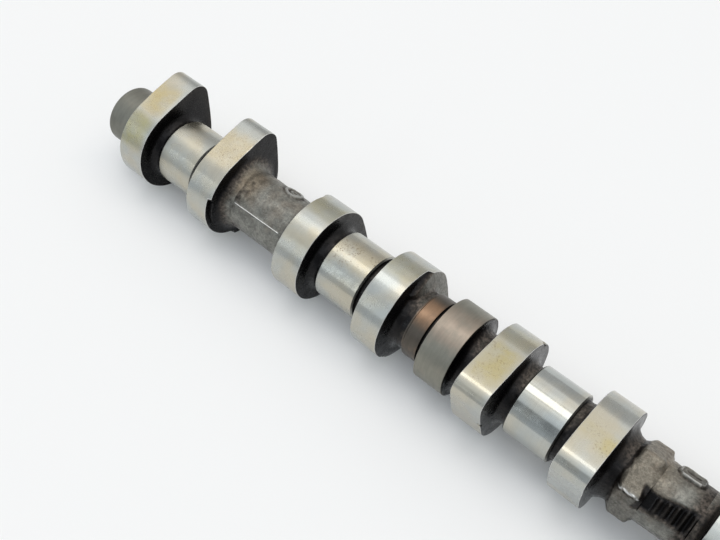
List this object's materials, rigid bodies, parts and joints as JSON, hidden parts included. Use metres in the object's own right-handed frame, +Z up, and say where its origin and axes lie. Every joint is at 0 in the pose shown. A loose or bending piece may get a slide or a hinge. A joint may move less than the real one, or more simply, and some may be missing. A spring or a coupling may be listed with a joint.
{
  "type": "camshaft",
  "caption": "Cast iron engine camshaft with paired cam lobes, ground bearing journals, a spanner hexagon and rough cast shaft between the cylinders.",
  "frame": {"origin": "on the shaft's axis at the shoulder behind the sprocket seat", "axes": "+X along the axis towards the sprocket end, +Z up as the shaft lies on its lobes"},
  "size_m": [0.372, 0.0416, 0.0416],
  "materials": {
    "cast_iron": "ground bright on lobes and journals, rough and dark as cast between them"
  },
  "bodies": {
    "root": {"camshaft": "cast_iron"}
  },
  "joints": []
}
